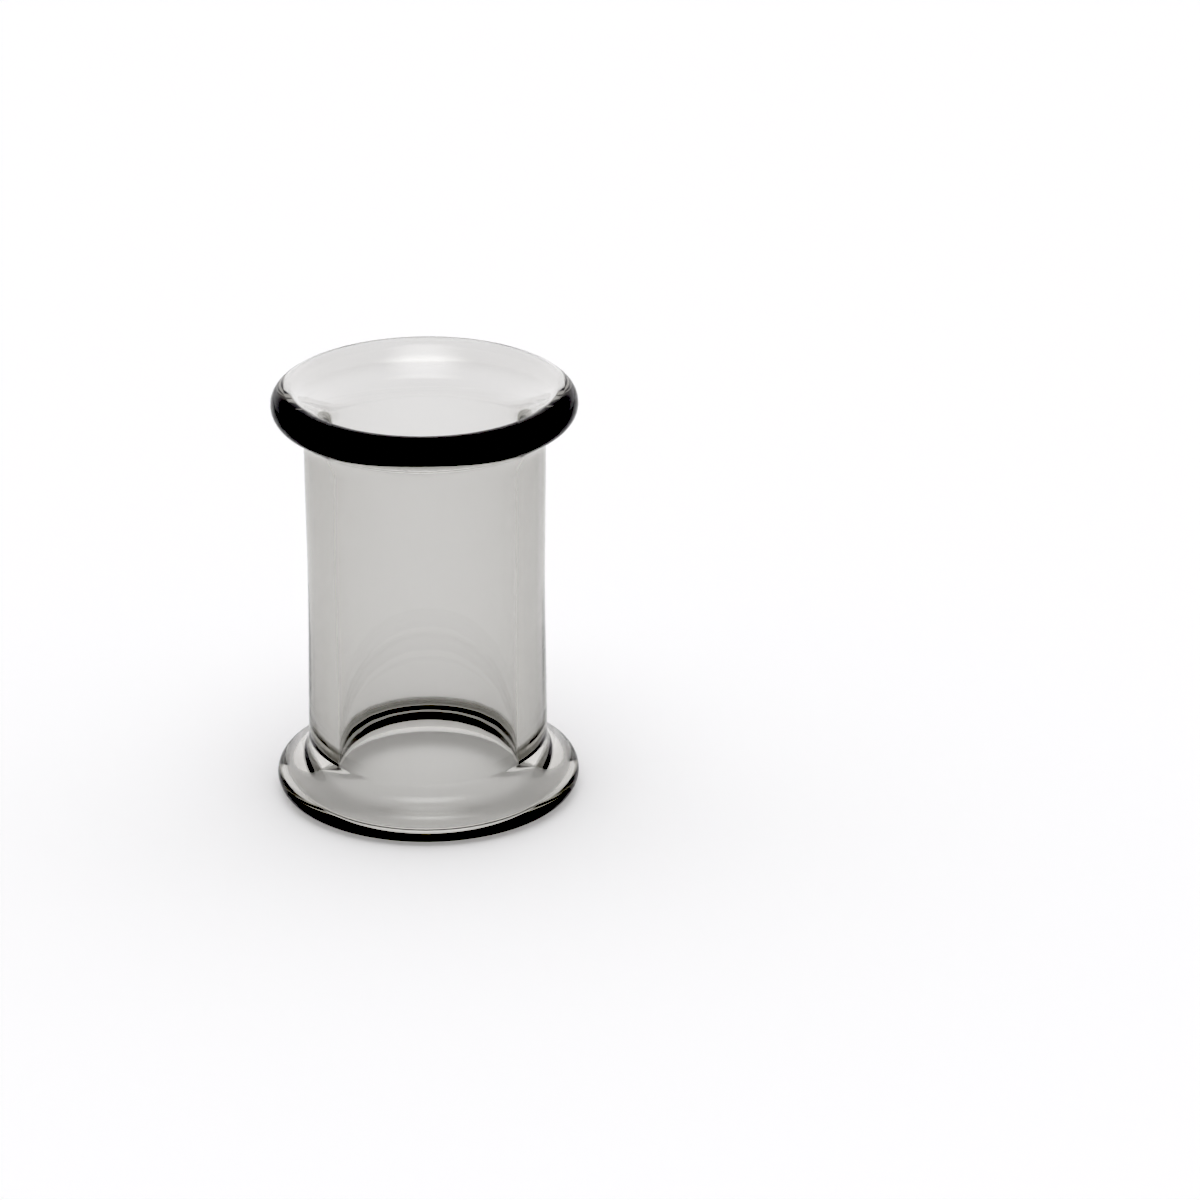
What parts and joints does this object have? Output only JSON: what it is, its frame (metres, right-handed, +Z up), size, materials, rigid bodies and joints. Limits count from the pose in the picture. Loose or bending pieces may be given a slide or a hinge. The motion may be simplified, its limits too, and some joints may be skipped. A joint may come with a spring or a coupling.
{
  "type": "double flare flesh tunnel",
  "caption": "Hollow smoke-grey glass tube with a flared, fire-polished lip at each end, worn through a stretched ear lobe; stands on its lower lip.",
  "frame": {"origin": "centre of the flat ring that the lower lip rests on, on the axis of the bore", "axes": "+Z up along the bore; X and Y are alike, because the tunnel is turned about Z"},
  "size_m": [0.0102, 0.0102, 0.0143],
  "materials": {
    "smoke_glass": "fire-polished gloss, clear smoke-grey tint"
  },
  "bodies": {
    "root": {"glass_tunnel": "smoke_glass"}
  },
  "joints": []
}
